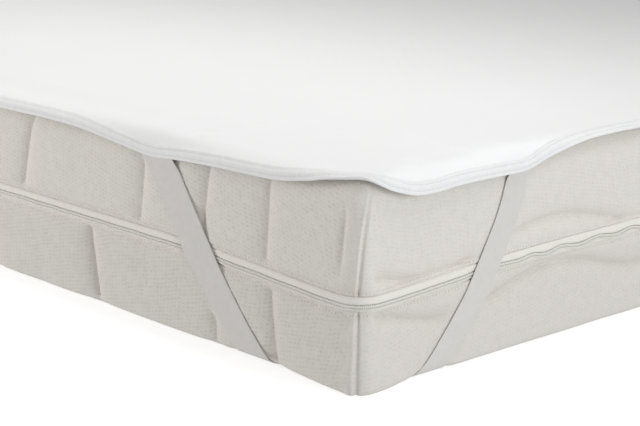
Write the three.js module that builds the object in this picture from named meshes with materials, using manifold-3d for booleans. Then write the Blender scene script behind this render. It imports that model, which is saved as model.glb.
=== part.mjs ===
// A flat mattress protector with a bound hem and an elastic strap at each corner,
// on the zip-covered foam mattress that carries it.
// Millimetres, +Z up, with the origin in the middle of the underside and the long sides along X.
// Shapes are worked out for the corner at +X and -Y and mirrored to the other three.
import * as THREE from "three";
import { mergeVertices } from "three/addons/utils/BufferGeometryUtils.js";
import Module from "manifold-3d";

const wasm = await Module();
wasm.setup();

// Mattress
const halfLength = 1000;
const halfWidth = 450;
const mattressHeight = 140;
const mattressCornerRadius = 20;
const topEdgeRadius = 18;
const underEdgeRadius = 6;

// Zip round all four sides of the mattress cover. It hangs a little lower at each corner.
const zipTop = 69.2;
const zipSag = 6.6;
const zipSagLength = 105;
const grooveDepth = 2;
const upperTapeHeight = 4.7;
const chainHeight = 3.6;
const lowerTapeHeight = 1.3;
const tapeThickness = 1.2;
const chainThickness = 1.8;

// Protector cloth, and the tape that is folded over its raw edge
const gap = 0.3;
const clothThickness = 1.5;
const bindingWidth = 7.5;
const bindingThickness = 0.7;
const foldGap = 0.5;
const hemCornerRadius = 24;
const rimWidth = 40;
const rimCornerRadius = 12;
const bendWidth = 16;
const steepestHem = THREE.MathUtils.degToRad(85);
const dropForSteepHem = 3;
const leastDrop = 0.1;
const hangPerReach = 1;
const hangPerDrop = 0.9;
const bendShare = 0.35;

// Strap
const strapThickness = 1.2;
const strapTuck = 3.5;
const closeLift = 0.9;
const troughMargin = 1;
const troughGap = 0.45;
const cutterDepth = 3;

// How the hem lies round a corner. Distances run along the hem from the corner's middle,
// negative on the long side. "out" is how far the cloth stands off the mattress side,
// and "low" is the height of its lower edge.
const hemRows = [
  { along: -995, out: 3, low: 131 },
  { along: -520, out: 3, low: 131 },
  { along: -386, out: 3, low: 131 },
  { along: -325, out: 3, low: 132 },
  { along: -281, out: 3, low: 131 },
  { along: -233, out: 4, low: 126.6 },
  { along: -198, out: 4.5, low: 123.7 },
  { along: -169, out: 5.5, low: 126 },
  { along: -122, out: 8, low: 129 },
  { along: -94, out: 8.5, low: 129.7 },
  { along: -62, out: 8, low: 130.7 },
  { along: -34, out: 7, low: 134.6 },
  { along: -18, out: 5.5, low: 137.7 },
  { along: -8, out: 5, low: 139.1 },
  { along: 2, out: 5.5, low: 139.5 },
  { along: 10, out: 7, low: 135.7 },
  { along: 17, out: 8.5, low: 131.6 },
  { along: 34, out: 10, low: 126.8 },
  { along: 51, out: 10.5, low: 126.2 },
  { along: 70, out: 10, low: 127.2 },
  { along: 89, out: 9.5, low: 127.3 },
  { along: 119, out: 7.5, low: 126.2 },
  { along: 146, out: 4.2, low: 125.5 },
  { along: 162, out: 3.5, low: 129.7 },
  { along: 177, out: 3, low: 132.7 },
  { along: 198, out: 3, low: 136 },
  { along: 220, out: 3, low: 137.7 },
  { along: 265, out: 3, low: 137.8 },
  { along: 340, out: 3, low: 134.5 },
  { along: 400, out: 3, low: 131.4 },
  { along: 445, out: 3, low: 131 },
];
const quietOut = 3;
const quietLow = 131;

// The strap down each side of the corner. "near" and "far" are how far its edges are from the
// corner, and each lift is how far that edge stands off the mattress. The turn takes it round
// the under edge of the mattress.
const longSideStrap = {
  tuck: { near: 182.5, far: 218.5 },
  rows: [
    { height: 115, near: 175.7, far: 212, nearLift: 1.4, farLift: 1.3 },
    { height: 100, near: 165.5, far: 201.5, nearLift: 1, farLift: 1 },
    { height: 85, near: 155, far: 191, nearLift: 0.9, farLift: 0.9 },
    { height: 71, near: 145, far: 180.8, nearLift: 0.9, farLift: 0.9 },
    { height: 56, near: 134, far: 169.8, nearLift: 0.9, farLift: 0.9 },
    { height: 36, near: 117, far: 151.5, nearLift: 0.9, farLift: 0.9 },
    { height: 22, near: 104.2, far: 138, nearLift: 0.9, farLift: 0.9 },
    { height: 12, near: 94, far: 127.5, nearLift: 0.8, farLift: 0.8 },
  ],
  turn: [
    { degrees: 0, near: 87.2, far: 121.5, lift: 0.6 },
    { degrees: 30, near: 84.5, far: 120, lift: 0 },
    { degrees: 60, near: 81.2, far: 118.2, lift: -0.7 },
    { degrees: 90, near: 78, far: 116.5, lift: -1.2 },
  ],
};
const shortSideStrap = {
  tuck: { near: 134.5, far: 159 },
  rows: [
    { height: 118, near: 132.8, far: 154.5, nearLift: 1.8, farLift: 1.4 },
    { height: 108, near: 129.6, far: 152.8, nearLift: 1.2, farLift: 1.1 },
    { height: 98, near: 125.5, far: 149.3, nearLift: 1, farLift: 1 },
    { height: 88, near: 120.2, far: 144, nearLift: 1, farLift: 1 },
    { height: 80, near: 115.5, far: 139.5, nearLift: 1, farLift: 1 },
    { height: 66, near: 107.1, far: 132.2, nearLift: 1, farLift: 1 },
    { height: 50, near: 97, far: 122.2, nearLift: 1, farLift: 1 },
    { height: 38, near: 87.2, far: 113.8, nearLift: 0.9, farLift: 0.9 },
    { height: 24, near: 74.8, far: 102, nearLift: 0.9, farLift: 0.9 },
    { height: 13, near: 64.3, far: 90, nearLift: 0.8, farLift: 0.8 },
  ],
  turn: [
    { degrees: 0, near: 56, far: 82.5, lift: 0.6 },
    { degrees: 30, near: 52, far: 80.8, lift: 0 },
    { degrees: 60, near: 48, far: 79.2, lift: -0.7 },
    { degrees: 90, near: 44, far: 77.5, lift: -1.2 },
  ],
};
const acrossStrap = [0, 0.5, 1];

// The four corners, in order round the mattress. "pull" is how much of the hem's droop
// and stand-off shows there.
const corners = [
  { name: "front_right", signX: 1, signY: 1, forward: true, pull: 1 },
  { name: "back_right", signX: 1, signY: -1, forward: false, pull: 0.85 },
  { name: "back_left", signX: -1, signY: -1, forward: true, pull: 0.95 },
  { name: "front_left", signX: -1, signY: 1, forward: false, pull: 0.8 },
];

// Reads one column of a table between its rows, with a smooth curve through them
function readTable(rows, key, column, at) {
  const last = rows.length - 1;
  const place = THREE.MathUtils.clamp(at, rows[0][key], rows[last][key]);
  let i = 0;
  while (i < last - 1 && place > rows[i + 1][key]) i += 1;
  const slope = (k) => {
    const before = rows[Math.max(k - 1, 0)];
    const after = rows[Math.min(k + 1, last)];
    return (after[column] - before[column]) / (after[key] - before[key]);
  };
  const width = rows[i + 1][key] - rows[i][key];
  const t = (place - rows[i][key]) / width;
  const startWeight = 1 + t * t * (2 * t - 3);
  const startPull = t * (1 - t) * (1 - t) * width;
  const endPull = t * t * (t - 1) * width;
  return (
    rows[i][column] * startWeight +
    rows[i + 1][column] * (1 - startWeight) +
    slope(i) * startPull +
    slope(i + 1) * endPull
  );
}

// A point and its outward direction on a rounded rectangle, at a distance along it
// from the middle of its corner at +X and -Y
function cornerPath(halfX, halfY, radius, along) {
  const halfArc = (radius * Math.PI) / 4;
  if (along < -halfArc) {
    return { x: halfX - radius + halfArc + along, y: -halfY, nx: 0, ny: -1 };
  }
  if (along > halfArc) {
    return { x: halfX, y: -halfY + radius - halfArc + along, nx: 1, ny: 0 };
  }
  const angle = along / radius - Math.PI / 4;
  const nx = Math.cos(angle);
  const ny = Math.sin(angle);
  return { x: halfX - radius + radius * nx, y: -halfY + radius + radius * ny, nx, ny };
}

// The distance along a rounded corner's path of the place that lies so far from the square corner
function alongAt(fromCorner, radius) {
  return fromCorner - radius + (radius * Math.PI) / 4;
}

function fromCornerAt(along, radius) {
  return Math.abs(along) + radius - (radius * Math.PI) / 4;
}

// Goes once round the mattress and makes one row of points at each place of each corner
function goRound(places, makeRow) {
  const rows = [];
  for (const corner of corners) {
    const ordered = corner.forward ? places : [...places].reverse();
    for (const along of ordered.slice(0, -1)) {
      rows.push(makeRow(corner, along).map((point) => mirrored(point, corner)));
    }
  }
  return rows;
}

function mirrored(point, corner) {
  return new THREE.Vector3(point.x * corner.signX, point.y * corner.signY, point.z);
}

// Turns rows of points into rings, so that the first point of each row makes the first ring
function ringsOf(rows) {
  return rows[0].map((_, k) => rows.map((row) => row[k]));
}

// A closed solid through rings of points. It joins its last ring to its first, or caps both ends.
// Each four-sided face is split along its shorter diagonal, or else along the one that leans the
// same way on both faces of a sheet whose rings go down one face and up the other.
function solidThrough(rings, { joined = false, splitShort = false } = {}) {
  const size = rings[0].length;
  const points = rings.flat();
  const faces = [];
  const bands = joined ? rings.length : rings.length - 1;
  for (let band = 0; band < bands; band += 1) {
    const nextBand = (band + 1) % rings.length;
    const rising = meanHeight(rings[nextBand]) > meanHeight(rings[band]);
    for (let k = 0; k < size; k += 1) {
      const next = (k + 1) % size;
      const here = band * size + k;
      const beside = band * size + next;
      const above = nextBand * size + k;
      const across = nextBand * size + next;
      const straight = points[here].distanceTo(points[across]);
      const turned = points[beside].distanceTo(points[above]);
      if (splitShort ? turned < straight : rising) {
        faces.push([here, beside, above], [beside, across, above]);
      } else {
        faces.push([here, beside, across], [here, across, above]);
      }
    }
  }
  if (!joined) {
    addCap(points, faces, 0, size, true);
    addCap(points, faces, (rings.length - 1) * size, size, false);
  }
  return geometryOf(points, faces);
}

function meanHeight(ring) {
  return ring.reduce((sum, point) => sum + point.z, 0) / ring.length;
}

function addCap(points, faces, start, size, reversed) {
  const middle = new THREE.Vector3();
  for (let k = 0; k < size; k += 1) middle.addScaledVector(points[start + k], 1 / size);
  const centre = points.push(middle) - 1;
  for (let k = 0; k < size; k += 1) {
    const a = start + k;
    const b = start + ((k + 1) % size);
    faces.push(reversed ? [b, a, centre] : [a, b, centre]);
  }
}

// Builds a mesh from points and triangles, turned so that its faces point outwards
function geometryOf(points, faces) {
  let volume = 0;
  for (const [a, b, c] of faces) {
    volume += points[a].dot(points[b].clone().cross(points[c]));
  }
  const outward = volume > 0 ? faces : faces.map(([a, b, c]) => [a, c, b]);
  const geometry = new THREE.BufferGeometry().setFromPoints(points);
  geometry.setIndex(outward.flat());
  geometry.computeVertexNormals();
  return geometry;
}

function asManifold(geometry) {
  const bare = geometry.clone();
  bare.deleteAttribute("normal");
  bare.deleteAttribute("uv");
  const merged = mergeVertices(bare, 1e-4);
  const vertProperties = merged.attributes.position.array;
  const triVerts = new Uint32Array(merged.index.array);
  return new wasm.Manifold(new wasm.Mesh({ numProp: 3, vertProperties, triVerts }));
}

function asGeometry(manifold) {
  const { vertProperties, triVerts } = manifold.getMesh();
  const geometry = new THREE.BufferGeometry();
  geometry.setAttribute("position", new THREE.BufferAttribute(vertProperties, 3));
  geometry.setIndex(new THREE.BufferAttribute(triVerts, 1));
  geometry.computeVertexNormals();
  return geometry;
}

// Places round the mattress where its outline and its zip have a row of points
const mattressArcSteps = 6;
const mattressStraightPlaces = [50, 90, 135, 190, 280];

function mattressPlaces() {
  const halfArc = (mattressCornerRadius * Math.PI) / 4;
  const arc = [];
  for (let k = 0; k <= mattressArcSteps; k += 1) {
    arc.push(-halfArc + (2 * halfArc * k) / mattressArcSteps);
  }
  const straight = mattressStraightPlaces.map((place) => alongAt(place, mattressCornerRadius));
  return [
    -alongAt(halfLength, mattressCornerRadius),
    ...straight.map((along) => -along).reverse(),
    ...arc,
    ...straight,
    alongAt(halfWidth, mattressCornerRadius),
  ];
}

function zipTopAt(along) {
  const distance = fromCornerAt(along, mattressCornerRadius);
  return zipTop - zipSag * Math.exp(-((distance / zipSagLength) ** 2));
}

// A closed band round the mattress: each level has a depth into its side and a height
function levelsRound(levelsAt) {
  const rows = goRound(mattressPlaces(), (corner, along) => {
    const path = cornerPath(halfLength, halfWidth, mattressCornerRadius, along);
    return levelsAt(along).map(
      ({ depth, height }) =>
        new THREE.Vector3(path.x - path.nx * depth, path.y - path.ny * depth, height),
    );
  });
  return ringsOf(rows);
}

const zipHeight = upperTapeHeight + gap + chainHeight + gap + lowerTapeHeight;
const underEdgeAngles = [90, 60, 30, 0];
const topEdgeAngles = [0, 22.5, 45, 67.5, 90];

function mattressLevels(along) {
  const grooveTop = zipTopAt(along) + gap;
  const grooveFoot = grooveTop - zipHeight - 2 * gap;
  const round = (radius, degrees) => {
    const angle = THREE.MathUtils.degToRad(degrees);
    return { depth: radius * (1 - Math.cos(angle)), rise: radius * Math.sin(angle) };
  };
  return [
    ...underEdgeAngles.map((degrees) => {
      const { depth, rise } = round(underEdgeRadius, degrees);
      return { depth, height: underEdgeRadius - rise };
    }),
    { depth: 0, height: grooveFoot },
    { depth: grooveDepth, height: grooveFoot },
    { depth: grooveDepth, height: grooveTop },
    { depth: 0, height: grooveTop },
    ...topEdgeAngles.map((degrees) => {
      const { depth, rise } = round(topEdgeRadius, degrees);
      return { depth, height: mattressHeight - topEdgeRadius + rise };
    }),
  ];
}

// One band of the zip, seated in the groove, so far below the zip's top edge
function zipBand(below, height, thickness) {
  const back = grooveDepth - gap;
  return solidThrough(
    levelsRound((along) => {
      const top = zipTopAt(along) - below;
      return [
        { depth: back, height: top },
        { depth: back - thickness, height: top },
        { depth: back - thickness, height: top - height },
        { depth: back, height: top - height },
      ];
    }),
    { joined: true },
  );
}

// Places round the hem, close together at the corners and further apart along the sides
const hemStep = 6.5;
const hemStepGrowth = 1.1;
const restHeight = mattressHeight + gap;
const rimBlend = 110;

function hemPlaces() {
  const armPlaces = (end, tuck) => {
    const places = [...tuck, end];
    for (let k = 1; ; k += 1) {
      const along = hemStep * k + hemStepGrowth * k * k;
      if (along > end - hemStep) return places.sort((a, b) => a - b);
      if (along < tuck[0] - hemStep || along > tuck.at(-1) + hemStep) places.push(along);
    }
  };
  const longArm = armPlaces(alongAt(halfLength, hemCornerRadius), tuckPlaces(longSideStrap));
  const shortArm = armPlaces(alongAt(halfWidth, hemCornerRadius), tuckPlaces(shortSideStrap));
  return [...longArm.map((along) => -along).reverse(), 0, ...shortArm];
}

// The places of the hem that the strap's near edge, middle and far edge are sewn to
function tuckPlaces(strapSide) {
  return acrossStrap.map((share) => tuckPlace(strapSide, share));
}

function tuckPlace({ tuck }, share) {
  return alongAt(THREE.MathUtils.lerp(tuck.near, tuck.far, share), hemCornerRadius);
}

// Slow waves of the hem along the straight sides, away from the corners
const waveStart = 300;
const waveFull = 520;
const hemWaves = [
  { height: 1.4, length: 295 },
  { height: -0.9, length: 182 },
];

function sideWave(along) {
  const middle = alongAt(along < 0 ? halfLength : halfWidth, hemCornerRadius);
  const turns = (middle - Math.abs(along)) * 2 * Math.PI;
  const share = THREE.MathUtils.smoothstep(Math.abs(along), waveStart, waveFull);
  return hemWaves.reduce((sum, wave) => sum + share * wave.height * Math.cos(turns / wave.length), 0);
}

function hemAt(corner, along) {
  const out = readTable(hemRows, "along", "out", along);
  const low = readTable(hemRows, "along", "low", along);
  return {
    out: quietOut + (out - quietOut) * corner.pull,
    low: quietLow + (low - quietLow) * corner.pull + sideWave(along),
  };
}

// The cloth's inner edge of the rim, which lies flat on the mattress
function rimPoint(along) {
  const blendOuter = alongAt(rimBlend, hemCornerRadius);
  const blendInner = alongAt(rimBlend - rimWidth, rimCornerRadius);
  const distance = Math.abs(along);
  const inner =
    distance < blendOuter
      ? (distance * blendInner) / blendOuter
      : distance - blendOuter + blendInner;
  return cornerPath(
    halfLength - rimWidth,
    halfWidth - rimWidth,
    rimCornerRadius,
    Math.sign(along) * inner,
  );
}

// The cloth's section at a place of the hem: flat from the rim, then bent down over the
// mattress edge. The function that it returns gives the point at a distance up the cloth from
// its lower edge, moved outwards by an offset.
const sectionSteps = 24;

function hemSection(corner, along) {
  const { out, low } = hemAt(corner, along);
  const path = cornerPath(halfLength, halfWidth, hemCornerRadius, along);
  const rim = rimPoint(along);
  const tip = new THREE.Vector2(path.x + path.nx * out, path.y + path.ny * out);
  const toTip = tip.clone().sub(new THREE.Vector2(rim.x, rim.y));
  const outward = toTip.clone().normalize();
  const drop = Math.max(restHeight - low, leastDrop);
  const reach = out + bendWidth;
  const steepness = steepestHem * (1 - Math.exp(-drop / dropForSteepHem));
  const hang = Math.min(hangPerReach * reach, (hangPerDrop * drop) / Math.sin(steepness));
  const curve = new THREE.CubicBezierCurve(
    new THREE.Vector2(0, 0),
    new THREE.Vector2(-hang * Math.cos(steepness), hang * Math.sin(steepness)),
    new THREE.Vector2(-reach * bendShare, drop),
    new THREE.Vector2(-reach, drop),
  );
  curve.arcLengthDivisions = sectionSteps;
  const length = curve.getLength();
  const towardsBindingTop = curve.getPointAt(bindingWidth / length).normalize();
  const pointAt = (distance, offset) => {
    const share = THREE.MathUtils.clamp(distance / length, 0, 1);
    const flat = curve.getPointAt(share);
    const tangent = curve.getTangentAt(share);
    flat.addScaledVector(towardsBindingTop, Math.min(distance, 0));
    flat.add(new THREE.Vector2(tangent.y, -tangent.x).multiplyScalar(offset));
    return new THREE.Vector3(
      tip.x + outward.x * flat.x,
      tip.y + outward.y * flat.x,
      restHeight - drop + flat.y,
    );
  };
  return { pointAt, length, rim };
}

function protectorSheet() {
  const rows = goRound(hemPlaces(), (corner, along) => {
    const { pointAt, length, rim } = hemSection(corner, along);
    const distances = [length, (length + bindingWidth) / 2, bindingWidth, 0];
    return [
      new THREE.Vector3(rim.x, rim.y, restHeight),
      ...distances.map((distance) => pointAt(distance, 0)),
      ...distances.reverse().map((distance) => pointAt(distance, clothThickness)),
      new THREE.Vector3(rim.x, rim.y, restHeight + clothThickness),
    ];
  });
  return solidThrough(ringsOf(rows));
}

// A tape folded round the cloth's edge, open upwards, with the cloth between its two legs
function protectorBinding() {
  const fold = -foldGap - bindingThickness;
  const outerFace = clothThickness + foldGap + bindingThickness;
  const rows = goRound(hemPlaces(), (corner, along) => {
    const { pointAt } = hemSection(corner, along);
    return [
      pointAt(bindingWidth, outerFace),
      pointAt(fold, outerFace),
      pointAt(fold, fold),
      pointAt(bindingWidth, fold),
      pointAt(bindingWidth, -foldGap),
      pointAt(-foldGap, -foldGap),
      pointAt(-foldGap, clothThickness + foldGap),
      pointAt(bindingWidth, clothThickness + foldGap),
    ];
  });
  return solidThrough(ringsOf(rows), { joined: true });
}

// A place on one side of the mattress, so far in from its face
function sidePlace(strapSide, fromCorner, depth, height) {
  return strapSide === longSideStrap
    ? new THREE.Vector3(halfLength - fromCorner, -halfWidth + depth, height)
    : new THREE.Vector3(halfLength - depth, -halfWidth + fromCorner, height);
}

// The strap's sections along one side of a corner, from the hem down and round the under edge.
// Each is a function that gives the point at a share of the strap's width, so far out from its
// inner face. The strap is widened where it only serves to cut the dent under it.
function strapSections(corner, strapSide, widen) {
  const fromCorner = ({ near, far }, share) =>
    THREE.MathUtils.lerp(near - widen, far + widen, share);
  const foldBack = -foldGap - bindingThickness;
  const along = strapSide === longSideStrap ? -1 : 1;
  const tuck = [strapTuck, 0].map((distance) => (share, out) => {
    const { pointAt } = hemSection(corner, along * tuckPlace(strapSide, share));
    const behindBinding = foldBack - foldGap - strapThickness + out;
    const foot = pointAt(foldBack, behindBinding);
    const head = pointAt(bindingWidth, behindBinding);
    return foot.lerp(head, (distance - foldBack) / (bindingWidth - foldBack));
  });
  const liftHere = (lift) => closeLift + (lift - closeLift) * corner.pull;
  const side = strapSide.rows.map((row) => (share, out) => {
    const lift = liftHere(THREE.MathUtils.lerp(row.nearLift, row.farLift, share));
    return sidePlace(strapSide, fromCorner(row, share), -lift - out, row.height);
  });
  const turn = strapSide.turn.map((row) => (share, out) => {
    const angle = THREE.MathUtils.degToRad(row.degrees);
    const radius = underEdgeRadius + row.lift + out;
    const depth = underEdgeRadius - radius * Math.cos(angle);
    const height = underEdgeRadius - radius * Math.sin(angle);
    return sidePlace(strapSide, fromCorner(row, share), depth, height);
  });
  return { tuck, side, turn };
}

function ribbon(corner, sections, inner, outer) {
  const rings = sections.map((section) => [
    ...acrossStrap.map((share) => section(share, inner)),
    ...acrossStrap.toReversed().map((share) => section(share, outer)),
  ]);
  return solidThrough(
    rings.map((ring) => ring.map((point) => mirrored(point, corner))),
    { splitShort: true },
  );
}

function strap(corner) {
  const long = strapSections(corner, longSideStrap, 0);
  const short = strapSections(corner, shortSideStrap, 0);
  const down = [...long.tuck, ...long.side, ...long.turn];
  const up = [...short.tuck, ...short.side, ...short.turn].reverse();
  return ribbon(corner, [...down, ...up], 0, strapThickness);
}

// The dent that a strap presses into the mattress where it passes under the corner. It is cut
// a little wider and deeper than the strap.
function strapTrough(corner) {
  const long = strapSections(corner, longSideStrap, troughMargin);
  const short = strapSections(corner, shortSideStrap, troughMargin);
  const down = [long.side.at(-1), ...long.turn];
  const up = [short.side.at(-1), ...short.turn].reverse();
  return ribbon(corner, [...down, ...up], -troughGap, cutterDepth);
}

function mattress() {
  let solid = asManifold(solidThrough(levelsRound(mattressLevels)));
  for (const corner of corners) solid = solid.subtract(asManifold(strapTrough(corner)));
  return asGeometry(solid);
}

const ticking = new THREE.MeshStandardMaterial({ color: 0xdedbd4, roughness: 0.95, metalness: 0 });
const zipTape = new THREE.MeshStandardMaterial({ color: 0xe8e3d6, roughness: 0.85, metalness: 0 });
const zipChain = new THREE.MeshStandardMaterial({ color: 0xd6d1c4, roughness: 0.6, metalness: 0 });
const cloth = new THREE.MeshStandardMaterial({ color: 0xf5f5f6, roughness: 0.9, metalness: 0 });
const tape = new THREE.MeshStandardMaterial({ color: 0xf1f1f1, roughness: 0.85, metalness: 0 });
const elastic = new THREE.MeshStandardMaterial({ color: 0xdcdcda, roughness: 0.8, metalness: 0 });

const part = new THREE.Group();

function addPiece(name, geometry, material) {
  const mesh = new THREE.Mesh(geometry, material);
  mesh.name = name;
  part.add(mesh);
}

addPiece("mattress", mattress(), ticking);
addPiece("zip_tape_upper", zipBand(0, upperTapeHeight, tapeThickness), zipTape);
addPiece("zip_chain", zipBand(upperTapeHeight + gap, chainHeight, chainThickness), zipChain);
addPiece(
  "zip_tape_lower",
  zipBand(zipHeight - lowerTapeHeight, lowerTapeHeight, tapeThickness),
  zipTape,
);
addPiece("protector_sheet", protectorSheet(), cloth);
addPiece("protector_binding", protectorBinding(), tape);
for (const corner of corners) addPiece(`strap_${corner.name}`, strap(corner), elastic);

export default part;
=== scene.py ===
import math
import bpy
import numpy as np
from mathutils import Matrix, Vector


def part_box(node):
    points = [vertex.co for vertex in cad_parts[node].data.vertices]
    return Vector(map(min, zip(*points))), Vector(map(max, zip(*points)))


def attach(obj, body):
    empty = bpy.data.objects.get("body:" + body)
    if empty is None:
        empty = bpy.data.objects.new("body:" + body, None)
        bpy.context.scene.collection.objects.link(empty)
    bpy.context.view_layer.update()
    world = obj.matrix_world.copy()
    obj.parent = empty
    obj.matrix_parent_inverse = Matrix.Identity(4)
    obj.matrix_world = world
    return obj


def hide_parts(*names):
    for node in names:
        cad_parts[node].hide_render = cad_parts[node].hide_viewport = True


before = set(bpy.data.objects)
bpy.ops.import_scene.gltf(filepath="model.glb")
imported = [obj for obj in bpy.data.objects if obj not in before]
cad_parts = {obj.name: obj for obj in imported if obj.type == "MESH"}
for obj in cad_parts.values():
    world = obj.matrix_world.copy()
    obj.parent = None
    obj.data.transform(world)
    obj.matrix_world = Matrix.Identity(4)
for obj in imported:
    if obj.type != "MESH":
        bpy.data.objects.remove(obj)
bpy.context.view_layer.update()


# Camera. It stands low beside one corner of the mattress and looks along the diagonal,
# as the photo does. The place and angles come from the mattress's own edges.
camera_place = Vector((1.7704, -1.1965, 0.3838))
camera_azimuth = math.radians(47.21)
camera_pitch = math.radians(13.86)
camera_roll = math.radians(0.26)
camera = bpy.data.objects.new("camera", bpy.data.cameras.new("camera"))
camera.data.lens = 101.25
camera.data.sensor_width = 36
camera.matrix_world = (
    Matrix.Translation(camera_place)
    @ Matrix.Rotation(camera_azimuth, 4, "Z")
    @ Matrix.Rotation(math.pi / 2 - camera_pitch, 4, "X")
    @ Matrix.Rotation(camera_roll, 4, "Z")
)
bpy.context.scene.collection.objects.link(camera)
bpy.context.scene.camera = camera


# Mattress cover, lower and upper half. It is knitted ticking quilted to a soft backing, off-white
# with a small raised pattern. Wavy rows of quilting run across the mattress and down its sides,
# each upright corner is seamed with a narrow welt, and the two halves meet at the zip.
half_length, half_width, mattress_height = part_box("mattress")[1]
cover_corner_radius = 0.010
cover_crown = 0.0012
# The upper edge, which is tighter at the corner and sinks there: how deep and how far along
top_edge_radius = 0.022
corner_top_radius = 0.012
corner_sink, corner_sink_reach = 0.0040, 0.024
# The under edge, and the bulge of the corner's foot: how far out, at what height, how far up
under_edge_radius = 0.0045
corner_under_radius = 0.0035
foot_bulge, foot_height, foot_reach = 0.0030, 0.008, 0.016
# The distances from the corner between which both edges lose their corner radius
edge_blend = (0.008, 0.045)
# The zip's upper line, which sags at the corner, and the opening below it. The corner is rounder
# there, as far up and down as zip_draw, and the lower lip is settled in.
zip_top = 0.0692
zip_sag, zip_sag_length = 0.0066, 0.105
zip_opening = 0.0096
zip_corner_radius = 0.020
zip_draw = 0.011
zip_settle, zip_settle_reach = 0.0014, 0.007
# The stitches beside the zip, counted down the cloth from its turned-in edge
stitch_place = 0.0076
# Quilting: how deep and how wide a straight row draws the padding in, and how high it stands
# between rows. A waving row draws it in in a sharp line and a wide hollow, each deep and wide so.
quilt_depth, quilt_reach = 0.0034, 0.0070
quilt_softness = 0.0006
puff_height = 0.0010
side_bow = 0.0008
wave_shape = ((0.0035, 0.0027), (0.0030, 0.0110))
wave_softness = 0.0004
# The corners, with their signs along X and Y, and how hard the straps pull the cloth at each
corners = (
    ("front_right", (1, 1), 1), ("back_right", (1, -1), 0.85),
    ("back_left", (-1, -1), 0.95), ("front_left", (-1, 1), 0.8),
)
corner_names, corner_signs, corner_pulls = zip(*corners)

# Rows of quilting on a long side: each one's distance from the mattress's end, its lean for each
# metre of height, and its depth. The rest follow evenly.
upper_rows = (
    (0.0875, -0.08, 1.1), (0.149, -0.16, 1.1), (0.2195, -0.14, 1.0),
    (0.292, -0.18, 0.08), (0.360, -0.28, 1.1),
)
lower_rows = (
    (0.0803, 0.13, 1.1), (0.142, 0.07, 0.9), (0.212, 0.10, 0.12),
    (0.280, 0.17, 1.4), (0.348, 0.15, 0.1),
)
upper_spacing, upper_level = 0.0675, 0.125
lower_spacing, lower_level = 0.0685, 0.0
last_row = 0.97
# The row that waves along a short side: height, swing, a low place and the wave's length
upper_wave = (0.0755, 0.0100, 0.068, 0.240)
lower_wave = (0.0435, 0.0090, 0.088, 0.205)
# The corner seam's place, at heights
seam_path = (
    (0.0, -0.0016), (0.055, -0.0014), (0.070, -0.0008), (0.110, 0.0030), (0.137, 0.0085),
)
# How a strap runs down each side of a corner: height, and its two edges' distances from the corner.
# Its first rows stand off further, by so much at either edge. Round the under edge the first column
# is degrees, and strap_turn_lift is how far it stands off there.
long_strap = {
    "side": -1, "tuck": (0.1825, 0.2185),
    "rows": (
        (0.1195, 0.1792, 0.2154), (0.115, 0.1757, 0.2120), (0.108, 0.1711, 0.2069),
        (0.100, 0.1655, 0.2015), (0.085, 0.1550, 0.1910), (0.071, 0.1450, 0.1808),
        (0.056, 0.1340, 0.1698), (0.036, 0.1170, 0.1515), (0.022, 0.1042, 0.1380),
        (0.012, 0.0940, 0.1275),
    ),
    "first_lifts": ((0.0012, 0.0012),),
    "turn": ((0, 0.0872, 0.1215), (30, 0.0845, 0.1200), (60, 0.0812, 0.1182), (90, 0.0780, 0.1165)),
}
short_strap = {
    "side": 1, "tuck": (0.1345, 0.1590),
    "rows": (
        (0.1215, 0.1336, 0.1566), (0.118, 0.1328, 0.1545), (0.108, 0.1296, 0.1528),
        (0.098, 0.1255, 0.1493), (0.088, 0.1202, 0.1440), (0.080, 0.1155, 0.1395),
        (0.066, 0.1071, 0.1322), (0.050, 0.0970, 0.1222), (0.038, 0.0872, 0.1138),
        (0.024, 0.0748, 0.1020), (0.013, 0.0643, 0.0900),
    ),
    "first_lifts": ((0.0014, 0.0012), (0.0007, 0.0007), (0.0007, 0.0007)),
    "turn": ((0, 0.0560, 0.0825), (30, 0.0520, 0.0808), (60, 0.0480, 0.0792), (90, 0.0440, 0.0775)),
}
strap_turn_lift = ((0, 0.0006), (30, 0.0), (60, -0.0007), (90, -0.0012))
strap_edge_radius = 0.006
# A strap presses the padding flat: how far that stands up under it, where the dent ends beside
# it, and the room left for it round the edge and below
strap_press = 0.0001
strap_dent_edge = (0.0005, 0.0090)
strap_clearance = 0.0004
strap_room_below = 0.0012
# Columns of points beside the corner and, further out, beside each row of quilting
corner_columns = ((0.0008, 0.012), (0.0016, 0.024), (0.0032, 0.046))
row_columns = (0.0, 0.0006, 0.0015, 0.0028, 0.0048, 0.0078, 0.0120, 0.0180, 0.0260)
last_corner_column, first_row_column = 0.045, 0.051


def smooth_step(value, start, end):
    share = np.clip((np.asarray(value, float) - start) / (end - start), 0, 1)
    return share * share * (3 - 2 * share)


def read_table(rows, at):
    """Smooth curves through the rows of a table, whose first column is the place."""
    table = np.array(rows, float)
    key = table[:, 0]
    at = np.clip(np.asarray(at, float), key[0], key[-1])
    slope = np.empty_like(table)
    slope[1:-1] = (table[2:] - table[:-2]) / (key[2:] - key[:-2])[:, None]
    slope[0] = (table[1] - table[0]) / (key[1] - key[0])
    slope[-1] = (table[-1] - table[-2]) / (key[-1] - key[-2])
    row = np.clip(np.searchsorted(key, at, side="right") - 1, 0, len(key) - 2)
    width = (key[row + 1] - key[row])[..., None]
    t = (at - key[row])[..., None] / width
    start = 1 + t * t * (2 * t - 3)
    values = (
        table[row] * start
        + table[row + 1] * (1 - start)
        + slope[row] * t * (1 - t) ** 2 * width
        + slope[row + 1] * t * t * (t - 1) * width
    )
    return np.moveaxis(values, -1, 0)[1:]


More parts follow.
